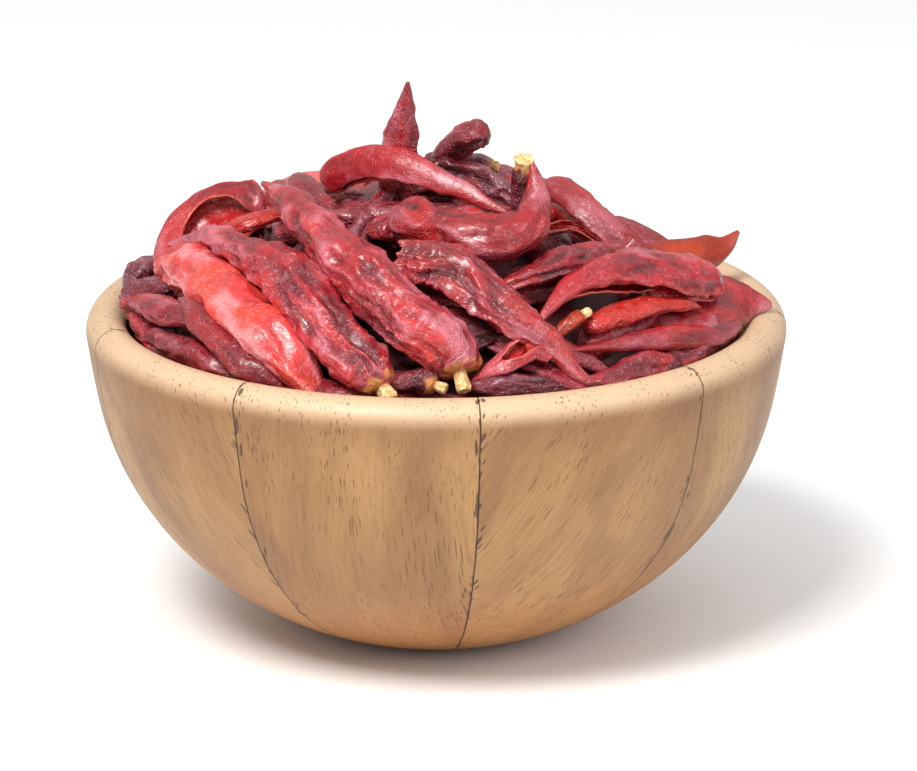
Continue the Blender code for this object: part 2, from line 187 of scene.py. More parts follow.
def scattered(material, place):
    """Distance to the nearest of many scattered points, and a chance number for each."""
    dots = add_node(material, "ShaderNodeTexVoronoi", Scale=1.0)
    plug(material, place, dots.inputs["Vector"])
    split = add_node(material, "ShaderNodeSeparateColor")
    plug(material, dots.outputs["Color"], split.inputs[0])
    return dots.outputs["Distance"], split.outputs[0]


def stave_wood():
    """Pale wood with faint growth rings, fine streaks, short dark pores, and dark flecks at the glue line,
    with painted light: a warm orange glow low down, painted shade just under the lip and a painted highlight
    along the lip.
    """
    wood = bpy.data.materials.new("oiled_pale_wood")
    wood.use_nodes = True
    shader = wood.node_tree.nodes["Principled BSDF"]
    block = add_node(wood, "ShaderNodeAttribute")
    block.attribute_name = "block"
    block = block.outputs["Vector"]
    seam = mark_of(wood, "seam")
    level = mark_of(wood, "level")
    growth = mark_of(wood, "growth")
    figure = cloudy(wood, stretched(wood, block, (0.05, 0.05, 0.012)), 3.0)
    fibre = cloudy(wood, stretched(wood, block, (1.1, 1.1, 0.05)), 4.0, 0.62)
    speckle = cloudy(wood, stretched(wood, block, (2.2, 2.2, 0.9)), 2.0, 0.6)
    drift = cloudy(wood, stretched(wood, block, (0.03, 0.03, 0.02)), 2.0)
    ripple = work_out(wood, "ADD", work_out(wood, "MULTIPLY", growth, 0.16),
                      work_out(wood, "MULTIPLY", drift, 9.0))
    band = work_out(wood, "SINE", ripple, 0.0)
    base = blend(wood, span(wood, figure, 0.36, 0.64), paint(146, 104, 60), paint(170, 128, 78))
    base = blend(wood, span(wood, band, 0.55, 1.0, 0.0, 0.32), base, paint(112, 72, 40))
    base = blend(wood, span(wood, fibre, 0.42, 0.72, 0.0, 0.34), base, paint(110, 72, 38))
    base = blend(wood, span(wood, speckle, 0.52, 0.72, 0.0, 0.24), base, paint(112, 78, 47))
    # Painted bounce light: the wood turns more orange low on the bowl, inside and out.
    base = blend(wood, span(wood, level, 52.0, 4.0, 0.0, 0.55), base, paint(176, 110, 46))
    # Painted shade: a darker band just under the lip.
    base = blend(wood, span(wood, level, 78.0, 88.0, 0.0, 0.45), base, paint(130, 88, 52))
    # Painted highlight: a pale cream along the lip.
    base = blend(wood, span(wood, level, 88.0, 94.0, 0.0, 0.9), base, paint(212, 180, 146))
    reach, chance = scattered(wood, stretched(wood, block, (1.4, 1.4, 0.075)))
    crowd = cloudy(wood, stretched(wood, block, (0.10, 0.10, 0.02)), 2.0)
    width = work_out(wood, "MULTIPLY", span(wood, crowd, 0.40, 0.60, 0.16, 0.33),
                     span(wood, chance, 0.0, 1.0, 0.5, 1.1))
    pore = span(wood, work_out(wood, "SUBTRACT", width, reach), -0.03, 0.06)
    base = blend(wood, work_out(wood, "MULTIPLY", pore, 0.65), base, paint(96, 58, 30))
    fleck_reach, fleck_chance = scattered(wood, stretched(wood, block, (0.75, 0.75, 0.15)))
    fleck_width = work_out(wood, "MULTIPLY", span(wood, seam, 3.2, 0.4, 0.0, 0.55),
                           span(wood, fleck_chance, 0.35, 0.9))
    fleck = span(wood, work_out(wood, "SUBTRACT", fleck_width, fleck_reach), -0.02, 0.04)
    base = blend(wood, work_out(wood, "MULTIPLY", fleck, 0.85), base, paint(70, 38, 20))
    broken = cloudy(wood, stretched(wood, block, (0.4, 0.4, 0.09)), 3.0, 0.6)
    line = span(wood, seam, span(wood, broken, 0.38, 0.62, 0.2, 0.5), 0.02)
    base = blend(wood, work_out(wood, "MULTIPLY", line, 0.9), base, paint(66, 36, 18))
    plug(wood, base, shader.inputs["Base Color"])
    plug(wood, span(wood, fibre, 0.3, 0.7, 0.44, 0.58), shader.inputs["Roughness"])
    shader.inputs["Coat Weight"].default_value = 0.10
    shader.inputs["Coat Roughness"].default_value = 0.35
    relief = work_out(wood, "ADD", work_out(wood, "MULTIPLY", pore, -1.0),
                      work_out(wood, "MULTIPLY", fibre, 0.25))
    dents = add_node(wood, "ShaderNodeBump", Strength=0.5, Distance=0.00012)
    plug(wood, relief, dents.inputs["Height"])
    plug(wood, dents.outputs[0], shader.inputs["Normal"])
    return wood


def add_stave(index, wood):
    """One stave: the bowl's outline swept round by a ninth of a turn, and moved out by half a glue gap."""
    sweep = math.tau / STAVES
    start = math.radians(FIRST_SEAM - 90.0) + sweep * index
    middle = start + sweep / 2.0
    shaped = bmesh.new()
    corners = [shaped.verts.new((radius, 0.0, level)) for radius, level in bowl_outline()]
    outline = shaped.faces.new(corners)
    bmesh.ops.rotate(shaped, verts=corners, matrix=Matrix.Rotation(start, 3, "Z"))
    bmesh.ops.spin(shaped, geom=[outline, *outline.edges, *outline.verts], axis=(0, 0, 1), cent=(0, 0, 0),
                   angle=sweep, steps=STAVE_FACETS, use_merge=False)
    bmesh.ops.remove_doubles(shaped, verts=shaped.verts, dist=SAME_POINT)
    bmesh.ops.recalc_face_normals(shaped, faces=shaped.faces)
    mesh = bpy.data.meshes.new(f"stave_wood_{index + 1}")
    shaped.to_mesh(mesh)
    shaped.free()
    turn_back = Matrix.Rotation(-middle, 3, "Z")
    grain = (Matrix.Rotation(math.radians(GRAIN_LEAN[index]), 3, "X")
             @ Matrix.Rotation(-math.radians(GRAIN_SLOPE), 3, "Y")
             @ Matrix.Diagonal((GRAIN_DEPTH, 1.0, 1.0)))
    ring_middle = Vector(RING_MIDDLES[index])
    shift = Vector((math.cos(middle), math.sin(middle), 0.0)) * GLUE_GAP / 2.0 / math.sin(sweep / 2.0)
    marks = {"seam": [], "level": [], "growth": []}
    block = []
    for vertex in mesh.vertices:
        own = turn_back @ vertex.co
        off_middle = abs(math.atan2(own.y, max(own.x, 0.001)))
        sawn = grain @ own
        marks["seam"].append(math.hypot(own.x, own.y) * math.sin(max(sweep / 2.0 - off_middle, 0.0)))
        marks["level"].append(own.z)
        marks["growth"].append((sawn.xy - ring_middle).length)
        block.extend(sawn + Vector((0.0, 0.0, BLOCK_STEP * index)))
        vertex.co = (vertex.co + shift) * MM
    for name, values in marks.items():
        mesh.attributes.new(name, "FLOAT", "POINT").data.foreach_set("value", values)
    mesh.attributes.new("block", "FLOAT_VECTOR", "POINT").data.foreach_set("vector", block)
    mesh.materials.append(wood)
    mesh.shade_smooth()
    mesh.set_sharp_from_angle(angle=math.radians(EDGE_ANGLE))
    stave = bpy.data.objects.new(mesh.name, mesh)
    bpy.context.scene.collection.objects.link(stave)
    rounding = stave.modifiers.new("rounded_seam", "BEVEL")
    rounding.width = SEAM_ROUNDING * MM
    rounding.segments = 2
    rounding.limit_method = "ANGLE"
    rounding.angle_limit = math.radians(SEAM_CORNER)
    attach(stave, "root")
    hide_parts(f"stave_{index + 1}")


pale_wood = stave_wood()
for stave_index in range(STAVES):
    add_stave(stave_index, pale_wood)

# The middle of the heap. Under the chillies that show lie more of them, packed close and in the dark, so the
# core is a low, lumpy mound painted a deep maroon, darker than their skin, as painted shade that only shows
# between them.
HEAP_EDGE = 92.0
HEAP_RISE = 36.0
HEAP_RADIUS = 92.0
HEAP_POWER = 2.6
CORE_SINK = 12.0
CORE_GAP = 0.8
CORE_RINGS = 60
CORE_SPOKES = 150
TOP_SHARE = 0.7           # of the rings lie in its top, and the rest go down the wall
WALL_STEP_POWER = 1.5
HEAP_END = 1.05           # share of the heap's radius past which its top falls no further
LUMP_HEIGHT = 3.0
LUMP_SIZE = 9.0
LUMP_FADE = 8.0           # lumps fade out over the last eighth of the way to the wall


def heap_level(x, y):
    """Height of the heap's rounded top, through the middles of the chillies."""
    reach = min(math.hypot(x, y) / HEAP_RADIUS, HEAP_END)
    return HEAP_EDGE + HEAP_RISE * (1.0 - reach ** HEAP_POWER)


def add_core():
    """A lumpy mound that fills the bowl below the chillies."""
    shaped = bmesh.new()
    top_edge = wall_inside(LIP_LEVEL) - CORE_GAP
    ground = FLOOR_LEVEL + CORE_GAP
    shoulder = heap_level(top_edge, 0.0) - CORE_SINK - ground
    loops = []
    for ring in range(1, CORE_RINGS + 1):
        share = ring / CORE_RINGS
        loop = []
        for spoke in range(CORE_SPOKES):
            angle = math.tau * spoke / CORE_SPOKES
            if share <= TOP_SHARE:
                out = share / TOP_SHARE
                x, y = top_edge * out * math.cos(angle), top_edge * out * math.sin(angle)
                lumps = LUMP_HEIGHT * noise.noise(Vector((x, y * 0.6, 3.0)) / LUMP_SIZE)
                lumps *= min(1.0, (1.0 - out) * LUMP_FADE)
                z = heap_level(x, y) - CORE_SINK + lumps
            else:
                left = max(1.0 - (share - TOP_SHARE) / (1.0 - TOP_SHARE), 0.0)
                z = ground + shoulder * left ** WALL_STEP_POWER
                radius = wall_inside(z - CORE_GAP) - CORE_GAP
                x, y = radius * math.cos(angle), radius * math.sin(angle)
            loop.append(shaped.verts.new(Vector((x, y, z)) * MM))
        loops.append(loop)
    top = shaped.verts.new(Vector((0.0, 0.0, heap_level(0.0, 0.0) - CORE_SINK)) * MM)
    bottom = shaped.verts.new(Vector((0.0, 0.0, ground)) * MM)
    for spoke in range(CORE_SPOKES):
        following = (spoke + 1) % CORE_SPOKES
        shaped.faces.new((top, loops[0][spoke], loops[0][following]))
        for inner, outer in zip(loops, loops[1:]):
            shaped.faces.new((inner[spoke], outer[spoke], outer[following], inner[following]))
        shaped.faces.new((loops[-1][spoke], bottom, loops[-1][following]))
    bmesh.ops.recalc_face_normals(shaped, faces=shaped.faces)
    mesh = bpy.data.meshes.new("heap_core")
    shaped.to_mesh(mesh)
    shaped.free()
    mesh.shade_smooth()
    shade = bpy.data.materials.new("packed_chillies_in_shade")
    shade.use_nodes = True
    shader = shade.node_tree.nodes["Principled BSDF"]
    place = add_node(shade, "ShaderNodeTexCoord").outputs["Object"]
    patches = cloudy(shade, stretched(shade, place, (140.0, 90.0, 140.0)), 4.0)
    # Painted shade: the mound's colour is darker than any chilli skin.
    colour = blend(shade, span(shade, patches, 0.35, 0.7), paint(44, 10, 16), paint(98, 18, 26))
    plug(shade, colour, shader.inputs["Base Color"])
    shader.inputs["Roughness"].default_value = 0.65
    mesh.materials.append(shade)
    core = bpy.data.objects.new(mesh.name, mesh)
    bpy.context.scene.collection.objects.link(core)
    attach(core, "root")
    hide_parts("chillies")


add_core()

# Plump chillies. The largest ones in the heap: long hollow pods whose thin skin has dried hard over
# air and seeds, so it has caved in between sharp ridges. They lie loose, as they fell, stalk ends to
# the front.
CHILLI_GAP = 0.5
STUBS = {"second": (3.0, 6.0), "centre": (2.4, 7.0), "low_stub": (1.8, 4.5), "neck": (3.0, 3.2),
         "wrinkled": (2.2, 3.0), "behind": (1.7, 3.0), "twig": (1.5, 3.5)}
STUB_OVERLAP = 2.0
SHOULDER_SHARE = 0.10
SHOULDERS = {"torn": 0.85, "stub": 0.50, "whole": 0.15, "full": 0.25}
TAPERS = {"torn": 0.42, "stub": 0.38, "whole": 0.42, "full": 0.70}
TIP_LOSS = 0.90
TAPER_POWER = 1.15
MOUTH_DEPTH = 7.0
MOUTH_RINGS = 8           # the skin round a torn mouth is ragged and frilled over so many rings
MOUTH_RAGGED = 3.2
MOUTH_FRILL = 0.30
MOUTH_SHRINK = (0.86, 0.97, 0.97, 0.97, 0.97, 0.97, 0.05)
SKIN_THICKNESS = 0.7
SPLINE_STEPS = 14
DENT_DEPTH = 1.9          # of the relief, in millimetres on a full-grown pod
SMALL_DENT_DEPTH = 0.9
FOLD_DEPTH = 2.2
CROSS_FOLD_DEPTH = 1.5
HOLLOW_DEPTH = 0.4
GIRTH_CHANGE = 0.10
FLAT_CHANGE = 0.25
WAVER = 0.06
TWIST_LIMIT = 0.8
FACING_LEAST = 0.35       # where the pod heads nearly the way that its broad side faces, it keeps its turn
PINCH_DEPTH = 0.34
GROOVE_WIDTH = 0.55
EDGE_REACH = 0.10         # the light edge of a slit, as an angle of the section
EDGE_WAVE = 1.1
STEM_REACH = 2.2          # the stubs' yellow runs so far over the shoulder
UP = (0.0, 0.0, 1.0)
FRONT = (0.0, -1.0, 0.35)
PLUMP_FACETS = (100, 200)

# A row is a name, how the stalk end is, the girth, the thickness for that girth, the way that the broad
# side faces, how light the skin is, how crumpled it is, the slit, and the way from the stalk end to the
# tip: x, y and the lift over the heap's rounded top. A slit is the way that it opens, how wide it gapes
# in degrees, and the shares of the length where it starts and ends.
PLUMP = (
    ("second", "stub", 17.5, 0.80, UP, 0.98, 1.0, None,
     ((-12, -88, -2), (-17, -83, 0), (-23, -79, 3), (-32, -68, 5), (-43, -50, 6), (-56, -30, 7),
      (-67, -12, 7), (-78, 4, 8))),
    ("centre", "stub", 19, 0.85, UP, 0.92, 0.9, None,
     ((8, -87, -1), (6, -82, 1), (0, -79, 4), (-9, -74, 6), (-19, -64, 8), (-30, -48, 9), (-40, -25, 10),
      (-50, 2, 11))),
    ("long_right", "torn", 18, 0.70, UP, 0.80, 1.1, None,
     ((-9, -56, 6), (2, -60, 7), (13, -66, 6), (24, -72, 4), (35, -76, 2), (41, -78, 1), (47, -80, 3))),
)
RELIEF_SEED = 3           # so that the skins bend and dent the same way each run
noise.seed_set(RELIEF_SEED)


def clear_of_bowl(point, reach):
    """Move a point in from the wall, or away from the lip, until it is clear by its reach."""
    radius = max(math.hypot(point.x, point.y), 0.001)
    level = point.z
    if level < LIP_LEVEL:
        radius_now = min(radius, wall_inside(level) - reach)
        level_now = max(level, FLOOR_LEVEL + reach)
    else:
        away = Vector((radius - LIP_RADIUS, level - LIP_LEVEL))
        needed = LIP_HALF_HEIGHT + reach
        if away.length < needed:
            away = away.normalized() * needed
        radius_now = LIP_RADIUS + away.x
        level_now = LIP_LEVEL + away.y
    return Vector((point.x * radius_now / radius, point.y * radius_now / radius, level_now))


def smooth_way(stops, count):
    """Points at even steps along a Catmull-Rom curve through the stops, and its length."""
    padded = [stops[0] * 2.0 - stops[1], *stops, stops[-1] * 2.0 - stops[-2]]
    fine = []
    for index in range(1, len(padded) - 2):
        before, start, end, after = padded[index - 1:index + 3]
        for step in range(SPLINE_STEPS):
            t = step / SPLINE_STEPS
            fine.append(0.5 * (2.0 * start + (end - before) * t
                               + (2.0 * before - 5.0 * start + 4.0 * end - after) * t ** 2
                               + (3.0 * start - before - 3.0 * end + after) * t ** 3))
    fine.append(stops[-1].copy())
    travelled = [0.0]
    for first, second in zip(fine, fine[1:]):
        travelled.append(travelled[-1] + (second - first).length)
    points = []
    place = 0
    for index in range(count):
        wanted = travelled[-1] * index / (count - 1)
        while place < len(fine) - 2 and travelled[place + 1] < wanted:
            place += 1
        share = (wanted - travelled[place]) / (travelled[place + 1] - travelled[place])
        points.append(fine[place].lerp(fine[place + 1], min(max(share, 0.0), 1.0)))
    return points, travelled[-1]


def thickness_along(share, end):
    """Half girth along a chilli, 1 where it is full: a blunt shoulder, a long body and a pointed tip."""
    rise = min(share / SHOULDER_SHARE, 1.0)
    front = SHOULDERS[end] + (1.0 - SHOULDERS[end]) * math.sqrt(rise * (2.0 - rise))
    fall = max((share - TAPERS[end]) / (1.0 - TAPERS[end]), 0.0)
    return front * (1.0 - TIP_LOSS * fall ** TAPER_POWER)


def skin_relief(spot, share, seed):
    """Height of the dried skin: smooth dents that meet in sharp crests, and folds along and across."""
    bent = spot + noise.noise_vector(spot / 9.0 + seed) * 2.6 + noise.noise_vector(spot / 3.5 - seed) * 0.6
    dent = noise.voronoi(Vector((bent.x / 11.0, bent.y / 5.5, bent.z / 5.5)) + seed)[0][0]
    small_dent = noise.voronoi(Vector((bent.x / 4.6, bent.y / 2.9, bent.z / 2.9)) + seed * 2.0)[0][0]
    fold = abs(noise.noise(Vector((bent.x / 24.0, bent.y / 5.0, bent.z / 5.0)) - seed))
    cross_fold = abs(noise.noise(Vector((bent.x / 3.6, bent.y / 12.0, bent.z / 12.0)) + seed))
    hollow = noise.noise(Vector((bent.x / 14.0, bent.y / 8.0, bent.z / 8.0)) + seed * 3.0)
    creased = 0.25 + 0.75 * min(max(1.4 - 3.0 * share, 0.0), 1.0)
    patch = min(max(0.5 + 1.3 * noise.noise(spot / 15.0 - seed), 0.0), 1.2)
    return (DENT_DEPTH * (dent * dent - 0.32) + SMALL_DENT_DEPTH * patch * (small_dent * small_dent - 0.3)
            + FOLD_DEPTH * (0.16 - fold) + CROSS_FOLD_DEPTH * creased * (0.16 - cross_fold)
            + HOLLOW_DEPTH * hollow)


MARKS = ("ridge", "stem", "inside", "edge", "tone", "crumple", "spot")


class Skins:
    """Chillies of one kind, gathered into one mesh."""

    def __init__(self):
        self.points = []
        self.faces = []
        self.marks = {name: [] for name in MARKS}

    def add_loops(self, loops, marks):
        """Skin over a row of equal loops, closed with a point at each end."""
        first = len(self.points)
        sides = len(loops[0])
        for loop, mark in zip(loops, marks):
            self.points.extend(loop)
            for name, values in mark.items():
                self.marks[name].extend(values)
        for index in range(len(loops) - 1):
            here = first + index * sides
            for side in range(sides):
                following = (side + 1) % sides
                self.faces.append(
                    (here + side, here + following, here + sides + following, here + sides + side))
        for index in (0, len(loops) - 1):
            here = first + index * sides
            self.points.append(sum(loops[index], Vector()) / sides)
            for name, values in marks[index].items():
                self.marks[name].append(values[0])
            for side in range(sides):
                rim = (here + side, here + (side + 1) % sides, len(self.points) - 1)
                self.faces.append(rim[::-1] if index == 0 else rim)

    def make(self, name, material):
        """Turn what was gathered into one piece that rides with the bowl."""
        mesh = bpy.data.meshes.new(name)
        mesh.from_pydata([point * MM for point in self.points], [], self.faces)
        for mark, values in self.marks.items():
            if mark == "spot":
                whole = [number for value in values for number in value]
                mesh.attributes.new(mark, "FLOAT_VECTOR", "POINT").data.foreach_set("vector", whole)
            else:
                mesh.attributes.new(mark, "FLOAT", "POINT").data.foreach_set("value", values)
        shaped = bmesh.new()
        shaped.from_mesh(mesh)
        bmesh.ops.recalc_face_normals(shaped, faces=shaped.faces)
        shaped.to_mesh(mesh)
        shaped.free()
        mesh.materials.append(material)
        mesh.shade_smooth()
        piece = bpy.data.objects.new(name, mesh)
        bpy.context.scene.collection.objects.link(piece)
        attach(piece, "root")
        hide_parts("chillies")
        return piece


def slit_width(share, slit, seed):
    """Half of the opening of a slit pod, as an angle of its section."""
    _way, width, start, finish = slit
    inside = min(max((share - start) / (finish - start), 0.0), 1.0)
    wave = 1.0 + 0.25 * noise.noise(seed + Vector((share * 9.0, 3.0, 0.0)))
    return max(math.radians(width) / 2.0 * math.sin(math.pi * inside) ** 0.6 * wave, 0.03)


def section_angles(sides, slit_at, half_slit):
    """Angles round a section, each with a mark for the inside, out round a slit skin and back in it."""
    if slit_at is None:
        return [(math.tau * side / sides, 0.0) for side in range(sides)]
    outer = sides * 5 // 8
    inner = sides - outer
    spread = math.tau - 2.0 * half_slit
    angles = [(slit_at + half_slit + spread * side / (outer - 1), 0.0) for side in range(outer)]
    angles += [(slit_at - half_slit - spread * side / (inner - 1), 1.0) for side in range(inner)]
    return angles


def pod_loops(row, facets):
    """The loops of a pod: crumpled oval sections, slit open or with a torn mouth where it has one."""
    name, end, girth, flat, face, tone, crumple, slit, stops = row
    sides, rings = facets
    chance = random.Random(name)
    seed = Vector([chance.uniform(0.0, 90.0) for _ in range(3)])
    twist = chance.uniform(-TWIST_LIMIT, TWIST_LIMIT)
    groove = chance.uniform(0.0, math.tau)
    way = [Vector((x, y, heap_level(x, y) + lift)) for x, y, lift in stops]
    middles, length = smooth_way(way, rings)
    if end == "stub":
        skipped = int(rings * (STUBS[name][1] - 1.0) / length)
        middles = middles[skipped:]
    rings = len(middles)
    across = Vector(face)
    loops = []
    marks = []
    for index, middle in enumerate(middles):
        share = index / (rings - 1)
        along = share * length
        half = girth / 2.0 * thickness_along(share, end)
        half *= 1.0 + GIRTH_CHANGE * noise.noise(seed + Vector((0.0, along / 12.0, 0.0)))
        oval = flat + FLAT_CHANGE * noise.noise(seed + Vector((along / 25.0, 0.0, 4.0)))
        oval = min(max(oval, 0.2), 1.0)
        waver = noise.noise_vector(seed + Vector((along / 13.0, 0.0, 0.0))) * WAVER * girth
        middle = clear_of_bowl(middle + waver, half * (0.5 + 0.5 * oval) + CHILLI_GAP)
        heading = (middles[min(index + 1, rings - 1)] - middles[max(index - 1, 0)]).normalized()
        faced = Vector(face) - heading * heading.dot(Vector(face))
        across = faced if faced.length > FACING_LEAST else across - heading * across.dot(heading)
        across.normalize()
        beside = heading.cross(across)
        pinch = crumple * PINCH_DEPTH * max(0.6 + noise.noise(seed + Vector((along / 24.0, 7.0, 0.0))), 0.0)
        slit_at = None
        half_slit = 0.0
        if slit:
            opening = Vector(slit[0])
            slit_at = math.atan2(opening.dot(across), opening.dot(beside))
            half_slit = slit_width(share, slit, seed)
        loop = []
        mark = {name: [] for name in MARKS}
        for angle, inner in section_angles(sides, slit_at, half_slit):
            own = angle + twist * share
            spot = Vector((along, half * math.cos(own), half * math.sin(own)))
            relief = skin_relief(spot, share, seed) * crumple * min(half / 6.0, 1.15)
            off_groove = (own - groove + math.pi) % math.tau - math.pi
            cave = -pinch * math.exp(-(off_groove / GROOVE_WIDTH) ** 2)
            edge = 0.0
            if slit:
                off_slit = abs((angle - slit_at + math.pi) % math.tau - math.pi) - half_slit
                edge = math.exp(-max(off_slit, 0.0) / EDGE_REACH) * (1.0 if half_slit > 0.1 else 0.0)
                relief += edge * EDGE_WAVE * noise.noise(seed + Vector((along / 5.0, 9.0, 0.0)))
            reach = max(half * (1.0 + cave) + relief, 0.3 * half)
            if inner:
                reach = max(reach - SKIN_THICKNESS, 0.1 * half)
            point = (middle + beside * reach * math.cos(angle)
                     + across * reach * math.sin(angle) * oval)
            loop.append(clear_of_bowl(point, CHILLI_GAP))
            stem = math.exp(-max(along - 0.5, 0.0) / STEM_REACH) * (0.7 + noise.noise(spot / 2.5 + seed))
            # The skin's height, with its grooves counted twice, goes to the material, which paints shade in
            # the dents and grooves and a highlight on the crests.
            mark["ridge"].append(relief + 2.0 * cave)
            mark["stem"].append(stem if end == "stub" else 0.0)
            mark["inside"].append(inner)
            mark["edge"].append(edge)
            mark["tone"].append(tone)
            mark["crumple"].append(crumple)
            mark["spot"].append(spot + seed * 10.0)
        loops.append(loop)
        marks.append(mark)
    if end == "torn":
        add_mouth(loops, marks, seed)
    return loops, marks


def add_mouth(loops, marks, seed):
    """Turn the skin in over a frilled, ragged edge, so that the pod's stalk end is an open mouth."""
    sides = len(loops[0])
    inward = (sum(loops[MOUTH_RINGS], Vector()) - sum(loops[0], Vector())).normalized()
    middle = sum(loops[0], Vector()) / sides
    for side in range(sides):
        turn = math.tau * side / sides
        circle = Vector((math.cos(turn), math.sin(turn), 0.0))
        ragged = MOUTH_RAGGED * noise.noise(seed + circle * 2.3)
        frill = MOUTH_FRILL * noise.noise(seed + circle * 4.5)
        for ring in range(MOUTH_RINGS):
            fade = (1.0 - ring / MOUTH_RINGS) ** 2
            point = loops[ring][side]
            loops[ring][side] = point + inward * ragged * fade + (point - middle) * frill * fade
            marks[ring]["edge"][side] = max(marks[ring]["edge"][side], fade)
    inner_rim = loops[0]
    deeper = inward * (MOUTH_DEPTH / (len(MOUTH_SHRINK) - 1))
    for step, shrink in enumerate(MOUTH_SHRINK):
        inner_rim = [middle + (point - middle) * shrink + deeper for point in inner_rim]
        loops.insert(0, inner_rim)
        marks.insert(0, {**marks[0], "ridge": [-0.5] * sides, "inside": [1.0] * sides,
                         "edge": [0.5 if step == 0 else 0.0] * sides})


def crease_lines(material, place, stretch, bend, width):
    """1 on the thin crests of a net of creases that wander along a pod, and 0 in the dents between them."""
    wander = add_node(material, "ShaderNodeTexNoise", Scale=0.22, Detail=2.0)
    plug(material, place, wander.inputs["Vector"])
    bent = add_node(material, "ShaderNodeVectorMath")
    bent.operation = "MULTIPLY_ADD"
    plug(material, wander.outputs["Color"], bent.inputs[0])
    bent.inputs[1].default_value = (bend, bend, bend)
    plug(material, place, bent.inputs[2])
    net = add_node(material, "ShaderNodeTexVoronoi", Scale=1.0)
    net.feature = "DISTANCE_TO_EDGE"
    plug(material, stretched(material, bent.outputs[0], stretch), net.inputs["Vector"])
    return span(material, net.outputs["Distance"], width, 0.0)


def skin_material(name, deep, body, highlight_paint, patch, inside, edge, highlight_share=0.42, patch_share=0.8):
    """Dry leathery skin: painted shade deep in its dents and grooves, a pale painted highlight on its crests,
    and fresher patches.
    """
    skin = bpy.data.materials.new(name)
    skin.use_nodes = True
    shader = skin.node_tree.nodes["Principled BSDF"]
    ridge = mark_of(skin, "ridge")
    crumple = mark_of(skin, "crumple")
    spot = add_node(skin, "ShaderNodeAttribute")
    spot.attribute_name = "spot"
    spot = spot.outputs["Vector"]
    broad = cloudy(skin, stretched(skin, spot, (0.05, 0.09, 0.09)), 3.0)
    other = cloudy(skin, stretched(skin, spot, (0.04, 0.08, 0.08)), 3.0)
    mottle = cloudy(skin, stretched(skin, spot, (0.35, 0.6, 0.6)), 5.0, 0.62)
    fine = cloudy(skin, stretched(skin, spot, (1.0, 2.2, 2.2)), 3.0, 0.6)
    wide_crease = crease_lines(skin, spot, (0.13, 0.33, 0.33), 12.0, 0.10)
    thin_crease = crease_lines(skin, spot, (0.32, 0.75, 0.75), 5.0, 0.18)
    where = work_out(skin, "MULTIPLY", span(skin, other, 0.36, 0.56, 0.15, 1.0), crumple)
    creases = work_out(skin, "ADD", wide_crease, work_out(skin, "MULTIPLY", thin_crease, 0.25))
    creases = work_out(skin, "MULTIPLY", creases, where)
    rough = work_out(skin, "MULTIPLY", work_out(skin, "SUBTRACT", mottle, 0.5), 1.6)
    relief = work_out(skin, "ADD", ridge, rough)
    # Painted shade: the deep colour goes into the dents and grooves of the skin's relief, broken up by random
    # mottle.
    colour = blend(skin, span(skin, relief, -1.7, 0.45), deep, body)
    fresh = work_out(skin, "MULTIPLY", span(skin, other, 0.50, 0.62), patch_share)
    colour = blend(skin, fresh, colour, patch)
    # Painted highlight: a pale pink on the crests of the relief, spread in broad patches, with its share set
    # for each kind.
    drift = work_out(skin, "MULTIPLY", work_out(skin, "SUBTRACT", broad, 0.5), 9.0)
    highlight_mask = span(skin, work_out(skin, "ADD", relief, drift), -0.2, 1.8)
    highlight_mask = work_out(skin, "MULTIPLY", highlight_mask, highlight_share)
    colour = blend(skin, highlight_mask, colour, highlight_paint)
    # Painted highlight along the thin crests of the crease net as well.
    colour = blend(skin, work_out(skin, "MULTIPLY", creases, 0.35), colour, highlight_paint)
    streaks = work_out(skin, "MULTIPLY", span(skin, fine, 0.50, 0.72), 0.35)
    colour = blend(skin, streaks, colour, deep)
    tone = blend(skin, mark_of(skin, "tone"), paint(0, 0, 0), paint(255, 255, 255))
    colour = blend(skin, 1.0, colour, tone, "MULTIPLY")
    colour = blend(skin, span(skin, mark_of(skin, "stem"), 0.35, 0.8), colour, paint(196, 124, 60))
    colour = blend(skin, mark_of(skin, "inside"), colour, inside)
    colour = blend(skin, span(skin, mark_of(skin, "edge"), 0.35, 0.95, 0.0, 0.6), colour, edge)
    plug(skin, colour, shader.inputs["Base Color"])
    plug(skin, span(skin, mottle, 0.35, 0.65, 0.22, 0.40), shader.inputs["Roughness"])
    shader.inputs["Specular IOR Level"].default_value = 0.6
    shader.inputs["Coat Weight"].default_value = 0.2
    shader.inputs["Coat Roughness"].default_value = 0.2
    grain = add_node(skin, "ShaderNodeBump", Strength=0.7, Distance=0.0005)
    height = work_out(skin, "ADD", creases, work_out(skin, "MULTIPLY", mottle, 0.4))
    plug(skin, work_out(skin, "ADD", height, work_out(skin, "MULTIPLY", fine, 0.1)), grain.inputs["Height"])
    plug(skin, grain.outputs[0], shader.inputs["Normal"])
    return skin


def lay(rows, facets, name, material):
    """Lay every chilli of one kind and join them into one piece."""
    skins = Skins()
    for row in rows:
        skins.add_loops(*pod_loops(row, facets))
    return skins.make(name, material)


rosy_skin = skin_material("rosy_dried_skin", paint(104, 6, 16), paint(176, 22, 32), paint(224, 146, 162),
                          paint(212, 40, 28), paint(160, 10, 8), paint(222, 96, 62))
lay(PLUMP, PLUMP_FACETS, "plump_chillies", rosy_skin)

# The brightest chilli. One younger pod has kept a light, orange-red skin. It lies on its side against the
# front left of the wall, and more of its crests carry the painted highlight than on the others.
BRIGHT = (
    ("bright", "full", 18, 0.80, UP, 1.0, 0.7, None,
     ((-75, 0, -3), (-71, -12, 1), (-62, -36, 2), (-53, -54, 2), (-44, -67, 1), (-36, -76, -4),
      (-32, -79, -12), (-29, -80, -20))),
)
bright_skin = skin_material("bright_dried_skin", paint(160, 14, 18), paint(222, 48, 44), paint(240, 162, 168),
                            paint(240, 66, 32), paint(140, 16, 10), paint(236, 110, 70), 0.6)
lay(BRIGHT, PLUMP_FACETS, "bright_chilli", bright_skin)

